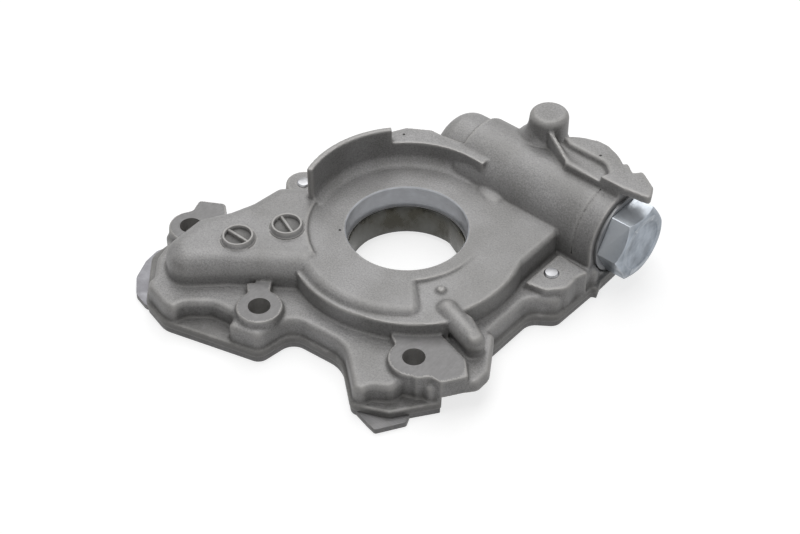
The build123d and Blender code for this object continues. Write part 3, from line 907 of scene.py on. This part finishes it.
    def tools(self, more: float) -> list[bpy.types.Object]:
        """Turned forms of every bore: cutters with nought more, or fillings a little wider.

        Args:
            more: Width added to each radius.

        Returns:
            One object for each bore or set of bores.
        """
        past = 0.0 if more else self.overcut
        low = self.back - past
        pocket = self.pocket_radius + more
        chamber = [(0, low), (pocket, low), (pocket, self.pocket_top), (0, self.pocket_top)]
        return [
            turned_mesh("bore", self.bore_shape(more, past), Vector()),
            turned_mesh("chamber", chamber, middle("outer_rotor")),
            joined("holes", self.holes(more, past)),
            turned_mesh("valve_bore", self.valve_shape(more, past), VALVE_AXIS, Axis.VALVE),
        ]

    def bore_shape(self, more: float, past: float) -> Profile:
        """Section of the crank's bore, from the collar hole up through the seal seat.

        Args:
            more: Width added to each radius.
            past: How far a cutter reaches past the casting, or nought for a filling.

        Returns:
            The section.
        """
        low, top, chamfer = self.back - past, self.hub_top, self.seal_chamfer
        collar, seal = self.collar_hole + more, self.seal_radius + more
        shape = [(0, low), (collar, low), (collar, self.seal_floor), (seal, self.seal_floor)]
        if more:
            under = top - self.filling_under
            return shape + [(seal, under), (0, under)]
        wide = seal + chamfer
        shape += [(seal, top - chamfer), (wide, top)]
        return shape + [(wide + past, top + past), (0, top + past)]

    def holes(self, more: float, past: float) -> list[bpy.types.Object]:
        """Bolt holes, through screw holes and blind screw holes.

        Args:
            more: Width added to each radius.
            past: How far a cutter reaches past the casting, or nought for a filling.

        Returns:
            One object for each hole.
        """
        top = self.pad_top + past
        through, blind = self.screws[: self.through_screws], self.screws[self.through_screws :]
        places = [(Vector((*spot, 0)), self.bolt_radius, top) for spot in self.bolts]
        places += [(spot, self.screw_hole, top) for spot in through]
        places += [(spot, self.screw_hole, self.blind_top) for spot in blind]
        low = self.back - past
        made = []
        for spot, radius, high in places:
            shape = [(0, low), (radius + more, low), (radius + more, high), (0, high)]
            made.append(turned_mesh("hole", shape, spot, Axis.UP, HOLE_STEPS))
        return made

    def valve_shape(self, more: float, past: float) -> Profile:
        """Section of the relief valve's bore: feed, plunger bore and thread.

        Args:
            more: Width added to each radius.
            past: How far a cutter reaches past the casting, or nought for a filling.

        Returns:
            The section.
        """
        feed, bore = self.feed_radius + more, self.valve_radius + more
        thread, end = self.thread_radius + more, self.tube_end + past
        return [
            (0, self.feed_start), (feed, self.feed_start), (feed, self.valve_start),
            (bore, self.valve_start), (bore, self.thread_start), (thread, self.thread_start),
            (thread, end), (0, end),
        ]

    def groove(self) -> bpy.types.Object:
        """Cutter of the thin turned line round the tube, behind the washer.

        Returns:
            The cutter.
        """
        low, high = self.groove_x
        bottom, out = self.tube_radius - self.groove_depth, self.tube_radius + self.groove_past
        shape = [(bottom, (low + high) / 2), (out, low), (out, high)]
        return turned_mesh("groove", shape, VALVE_AXIS, Axis.VALVE)

    def name_faces(self, casting: bpy.types.Object) -> None:
        """Give each face its finish: cast, turned in the seal seat, milled on back and pads.

        Args:
            casting: The bored casting.
        """
        casting.data.materials.clear()
        for name in ("cast_aluminium", "turned_aluminium", "milled_aluminium"):
            casting.data.materials.append(self.finishes[name])
        count = len(casting.data.polygons)
        centres, normals = np.empty(count * 3), np.empty(count * 3)
        casting.data.polygons.foreach_get("center", centres)
        casting.data.polygons.foreach_get("normal", normals)
        x, y, z = centres.reshape(-1, 3).T / MM
        level = np.abs(normals.reshape(-1, 3)[:, 2])
        seat = (np.hypot(x, y) < self.seal_radius + self.seat_rim) & (level < self.wall_level)
        seat &= (z > self.pocket_top) & (z < self.hub_top + self.seat_above)
        pads = (np.abs(z - self.pad_top) < self.pad_reach) & (level > self.pad_level)
        back = (z < self.back + self.back_reach) & (level > self.back_level)
        index = np.full(count, Skin.CAST.value, dtype=np.int32)
        index[seat] = Skin.TURNED.value
        index[back] = Skin.MILLED.value
        for spot in self.bolts:
            index[pads & (np.hypot(x - spot[0], y - spot[1]) < self.bolt_pad)] = Skin.MILLED.value
        casting.data.polygons.foreach_set("material_index", index)


@dataclass
class DateDials:
    """Two empty date dials on the lobe: crisp rings round a sunken floor, each with one bar."""

    finishes: Finishes
    places: tuple[tuple[Spot, float], ...] = (((-43.4, -47.7), 0.0), ((-33.7, -31.0), -22.0))
    radius: float = 6.0
    wall: float = 0.95
    lobe_top: float = 25.2
    rim: float = 27.6
    floor: float = 25.6
    root: float = 0.6
    cove: float = 0.3
    inner_break: float = 0.15
    outer_break: float = 0.25
    draft: float = 0.05
    foot: Spot = (0.5, 0.4)
    bar: float = 1.0
    bar_top: float = 27.3
    bar_root: float = 0.3
    bar_edge: float = 0.15
    room_floor: float = 0.03
    room_above: float = 3.0
    room_around: float = 1.0

    def clearances(self) -> list[bpy.types.Object]:
        """Cutters that make room on the casting for the crisp dials.

        Returns:
            One cutter for each dial.
        """
        low, high = self.lobe_top + self.room_floor, self.rim + self.room_above
        wide = self.radius + self.room_around
        shape = [(0, low), (wide, low), (wide, high), (0, high)]
        return [
            turned_mesh("room", shape, Vector((*place, 0)), Axis.UP, HOLE_STEPS)
            for place, _ in self.places
        ]

    def build(self) -> list[bpy.types.Object]:
        """Make both dials.

        Returns:
            One visible piece for each dial.
        """
        dials = []
        for number, (place, turn) in enumerate(self.places, start=1):
            centre = Vector((*place, 0))
            ring = turned_mesh("ring", self.ring_shape(), centre)
            dial = joined(f"date_dial_{number}", [ring, self.cross_bar(centre, turn)])
            smooth(dial)
            dress(dial, self.finishes["cast_aluminium"])
            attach(dial, "housing")
            dials.append(dial)
        return dials

    def ring_shape(self) -> Profile:
        """Section of a dial: its floor, its wall and its root in the lobe.

        Returns:
            The section.
        """
        inner, outer, low = self.radius - self.wall, self.radius, self.lobe_top - self.root
        foot_width, foot_height = self.foot
        return [
            (0, self.floor), (inner - self.cove, self.floor), (inner, self.floor + self.cove),
            (inner, self.rim - self.inner_break), (inner + self.inner_break, self.rim),
            (outer - self.outer_break, self.rim), (outer, self.rim - self.outer_break),
            (outer + self.draft, self.lobe_top + foot_height),
            (outer + foot_width, self.lobe_top), (outer + foot_width, low), (0, low),
        ]

    def cross_bar(self, centre: Vector, turn: float) -> bpy.types.Object:
        """Bar that crosses a dial.

        Args:
            centre: Middle of the dial, at height nought.
            turn: Direction of the bar, in degrees.

        Returns:
            The bar, its edges broken.
        """
        inner = self.radius - self.wall
        high = self.bar_top - self.floor + self.bar_root
        size = Vector((2 * inner + self.bar_root, self.bar, high))
        mesh = bmesh.new()
        bmesh.ops.create_cube(mesh, size=1.0)
        place = Matrix.Translation(centre + Vector((0, 0, self.bar_top - high / 2)))
        shape = Matrix.Rotation(math.radians(turn), 4, "Z") @ Matrix.Diagonal((*size, 1.0))
        bmesh.ops.transform(mesh, matrix=Matrix.Scale(MM, 4) @ place @ shape, verts=mesh.verts)
        bar = new_object("bar", mesh)
        soften(bar, self.bar_edge)
        return bar


@dataclass
class ReliefPlug:
    """Hex plug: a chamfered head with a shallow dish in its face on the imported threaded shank."""

    finishes: Finishes
    flats: float = 27.0
    seat: float = 62.0
    face: float = 72.0
    chamfer_circle: float = 12.9
    chamfer_angle: float = 30.0
    dish_radius: float = 10.3
    dish_slope: float = 0.45
    dish_depth: float = 0.3
    edge: float = 0.22
    crisp_angle: float = 22.0
    head_room: float = 20.0
    overcut: float = 3.0
    corner_spare: float = 1.0

    def build(self) -> list[bpy.types.Object]:
        """Make the plug.

        Returns:
            The one visible piece.
        """
        shank = node_copy("relief_plug", "shank")
        end, room = self.face + self.overcut, self.head_room
        packed_head = [(0, self.seat), (room, self.seat), (room, end), (0, end)]
        cut(shank, turned_mesh("packed_head", packed_head, VALVE_AXIS, Axis.VALVE, 24))
        plug = joined("relief_plug_finished", [shank, self.hexagon()])
        level_flats(plug)
        dress(plug, self.finishes["zinc_plated_steel"])
        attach(plug, "housing")
        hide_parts("relief_plug")
        return [plug]

    def hexagon(self) -> bpy.types.Object:
        """Head of the plug: a hexagon turned to a cone at its corners, its face dished.

        Returns:
            The head.
        """
        corner = self.flats / 2 / math.cos(math.pi / 6)
        block = [(0, self.seat), (corner, self.seat), (corner, self.face), (0, self.face)]
        past, wide = self.face + self.overcut, corner + self.corner_spare
        circle = self.chamfer_circle
        drop = (wide - circle) * math.tan(math.radians(self.chamfer_angle))
        cone = [(circle, self.face), (wide, self.face - drop), (wide, past), (circle, past)]
        floor = self.face - self.dish_depth
        dish = [(0, floor), (self.dish_radius - self.dish_slope, floor)]
        dish += [(self.dish_radius, self.face), (self.dish_radius, past), (0, past)]
        head = turned_mesh("head", block, VALVE_AXIS, Axis.VALVE, 6)
        cut(head, turned_mesh("cone", cone, VALVE_AXIS, Axis.VALVE))
        cut(head, turned_mesh("dish", dish, VALVE_AXIS, Axis.VALVE))
        soften(head, self.edge, angle=self.crisp_angle)
        return head


@dataclass
class ReliefSpring:
    """Round-wire coil of one length between plunger and plug; the real one closes up as the valve
    opens.
    """

    finishes: Finishes
    wire_radius: float = 1.0
    turns: float = 7.0
    steps: int = 32
    sides: int = 12

    def build(self) -> list[bpy.types.Object]:
        """Make the coil, at one length.

        Returns:
            The one visible piece.
        """
        low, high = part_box("relief_spring")
        coil = self.coil(low, high)
        smooth(coil)
        dress(coil, self.finishes["spring_steel"])
        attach(coil, "housing")
        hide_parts("relief_spring")
        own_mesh(coil)
        return [coil]

    def coil(self, low: Vector, high: Vector) -> bpy.types.Object:
        """Wire wound along the valve inside a box.

        Args:
            low: Lowest corner of the box, in metres.
            high: Highest corner of the box, in metres.

        Returns:
            The coil.
        """
        wire = self.wire_radius * MM
        centre = (low + high) / 2
        radius = (high.y - low.y) / 2 - wire
        length = high.x - low.x - 2 * wire
        count = int(self.turns * self.steps)
        mesh = bmesh.new()
        rings = []
        for k in range(count + 1):
            turn = 2 * math.pi * self.turns * k / count
            out = Vector((0, math.cos(turn), math.sin(turn)))
            along = low.x + wire + length * k / count
            core = Vector((along, centre.y, centre.z)) + radius * out
            ring = []
            for j in range(self.sides):
                angle = 2 * math.pi * j / self.sides
                side = math.cos(angle) * out + math.sin(angle) * Vector((1, 0, 0))
                ring.append(mesh.verts.new(core + wire * side))
            rings.append(ring)
        for first, second in zip(rings, rings[1:]):
            for j in range(self.sides):
                n = (j + 1) % self.sides
                mesh.faces.new((first[j], first[n], second[n], second[j]))
        mesh.faces.new(rings[0])
        mesh.faces.new(rings[-1])
        bmesh.ops.recalc_face_normals(mesh, faces=mesh.faces)
        return new_object("relief_spring_coil", mesh)


@dataclass
class CarriedParts:
    """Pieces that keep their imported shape, with broken edges where they show."""

    finishes: Finishes
    edge: float = 0.18
    made_elsewhere: tuple[str, ...] = ("pump_housing", "relief_spring", "relief_plug")

    def build(self) -> list[bpy.types.Object]:
        """Dress the rotors, the plunger, the cover, the screws and the washer.

        Returns:
            The visible pieces.
        """
        pieces = []
        record = frame["record"]
        groups = record["behaviour"]["bodies"].items()
        bodies = {node: body for body, nodes in groups for node in nodes}
        for part in record["subparts"]:
            node, slot_name = part["node"], part["material_slot"]
            if node in self.made_elsewhere:
                continue
            piece = node_copy(node, f"{node}_finished")
            soften(piece, self.edge)
            smooth(piece)
            dress(piece, self.finishes[slot_name])
            if node == "rear_cover":
                self.shear_rim(piece)
            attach(piece, bodies[node])
            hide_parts(node)
            pieces.append(piece)
        return pieces

    def shear_rim(self, cover: bpy.types.Object) -> None:
        """Give the stamped rim of the cover its duller finish.

        Args:
            cover: The cover, already dressed.
        """
        cover.data.materials.append(self.finishes["sheared_steel"])
        for face in cover.data.polygons:
            face.material_index = int(abs(face.normal.z) < 0.5)


# ---- Studio --------------------------------------------------------------------------------


@dataclass(frozen=True)
class Lamp:
    """Square soft lamp that looks at the pump, in metres and watts."""

    name: str
    place: Place
    size: float
    power: float

    def hang(self) -> None:
        """Add the lamp to the scene."""
        data = bpy.data.lights.new(self.name, "AREA")
        data.shape = "SQUARE"
        data.size = self.size
        data.energy = self.power
        lamp = bpy.data.objects.new(self.name, data)
        lamp.location = self.place
        lamp.rotation_euler = (-Vector(self.place)).to_track_quat("-Z", "Y").to_euler()
        bpy.context.scene.collection.objects.link(lamp)
        lamp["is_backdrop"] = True


@dataclass
class Studio:
    """Pale floor, soft lamps and the camera of the photograph, in metres."""

    camera_place: Place = (0.31778, -0.37614, 0.46703)
    camera_right: Place = (0.7604, 0.6494, 0.0)
    camera_ahead: Place = (-0.4727, 0.5534, -0.6858)
    lens: float = 77.85
    sensor: float = 36.0
    lamps: tuple[Lamp, ...] = (
        Lamp("key_lamp", (-0.32, 0.42, 0.9), 0.8, 4.6),
        Lamp("top_lamp", (-0.05, -0.12, 1.0), 0.5, 2.0),
    )
    sky: float = 0.27
    floor_reach: float = 3.0
    floor_gap: float = 0.0002
    floor_colour: Colour = (0.42, 0.42, 0.42, 1.0)
    floor_glow: float = 0.74
    card_place: Place = (-0.27, -0.5, 0.14)
    card_size: Spot = (0.3, 0.1)
    card_colour: Colour = (0.03, 0.03, 0.03, 1.0)

    def build(self) -> None:
        """Set the floor, the world, the lamps and the camera."""
        self.floor()
        self.world()
        for lamp in self.lamps:
            lamp.hang()
        self.dark_card()
        self.camera()
        bpy.context.scene.view_settings.view_transform = "Standard"

    def sheet(self, name: str, reach: float, material: bpy.types.Material) -> bpy.types.Object:
        """Flat square of the studio, standing at the origin.

        Args:
            name: Name of the new object.
            reach: Half its width.
            material: Its finish.

        Returns:
            The new object.
        """
        mesh = bmesh.new()
        bmesh.ops.create_grid(mesh, x_segments=1, y_segments=1, size=reach)
        made = new_object(name, mesh)
        dress(made, material)
        made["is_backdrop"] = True
        return made

    def floor(self) -> None:
        """Wide pale floor: white to the eye, and shaded where the pump stands on it."""
        s = Shading("pale_floor")
        glow = s.math("MULTIPLY", s.seen(), self.floor_glow)
        paper = s.add("ShaderNodeBsdfDiffuse", {"Color": self.floor_colour})
        white = s.add("ShaderNodeEmission", {"Color": WHITE, "Strength": glow})
        both = s.add("ShaderNodeAddShader", {0: paper.outputs[0], 1: white.outputs[0]})
        s.add("ShaderNodeOutputMaterial", {"Surface": both.outputs[0]})
        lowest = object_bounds()[0].z
        ground = self.sheet("floor", self.floor_reach, s.material)
        ground.location.z = lowest - self.floor_gap

    def world(self) -> None:
        """Even pale surround, white to the eye."""
        world = bpy.data.worlds.new("surround")
        bpy.context.scene.world = world
        world.use_nodes = True
        nodes = Nodes(world.node_tree)
        strength = nodes.span(nodes.seen(), 0.0, 1.0, self.sky, 1.0)
        light = nodes.add("ShaderNodeBackground", {"Color": WHITE, "Strength": strength})
        nodes.add("ShaderNodeOutputWorld", {"Surface": light.outputs[0]})

    def dark_card(self) -> None:
        """Dark card at the front left, which only mirrors see: bright metal's dark side."""
        s = Shading("black_card")
        matt = s.add("ShaderNodeBsdfDiffuse", {"Color": self.card_colour})
        s.add("ShaderNodeOutputMaterial", {"Surface": matt.outputs[0]})
        card = self.sheet("dark_card", 1.0, s.material)
        place = Vector(self.card_place)
        card.location = place
        card.scale = (*self.card_size, 1.0)
        card.rotation_euler = place.to_track_quat("Z", "Y").to_euler()
        card.visible_camera = card.visible_diffuse = card.visible_shadow = False

    def camera(self) -> None:
        """Camera at the photograph's angle."""
        data = bpy.data.cameras.new("camera")
        data.lens = self.lens
        data.sensor_width = self.sensor
        right = Vector(self.camera_right).normalized()
        ahead = Vector(self.camera_ahead).normalized()
        up = right.cross(ahead).normalized()
        turn = Matrix((right, up, -ahead)).transposed().to_4x4()
        camera = bpy.data.objects.new("camera", data)
        camera.matrix_world = Matrix.Translation(self.camera_place) @ turn
        bpy.context.scene.collection.objects.link(camera)
        bpy.context.scene.camera = camera


def main() -> None:
    """Build every sub-assembly and the studio."""
    logging.basicConfig(level=logging.INFO, format="%(message)s")
    finishes = Finishes()
    kinds = (Housing, DateDials, ReliefPlug, ReliefSpring, CarriedParts)
    for kind in kinds:
        for piece in kind(finishes).build():
            log.info("%s: %s, %d faces", kind.__name__, piece.name, len(piece.data.polygons))
    Studio().build()


if __name__ == "__main__":
    main()
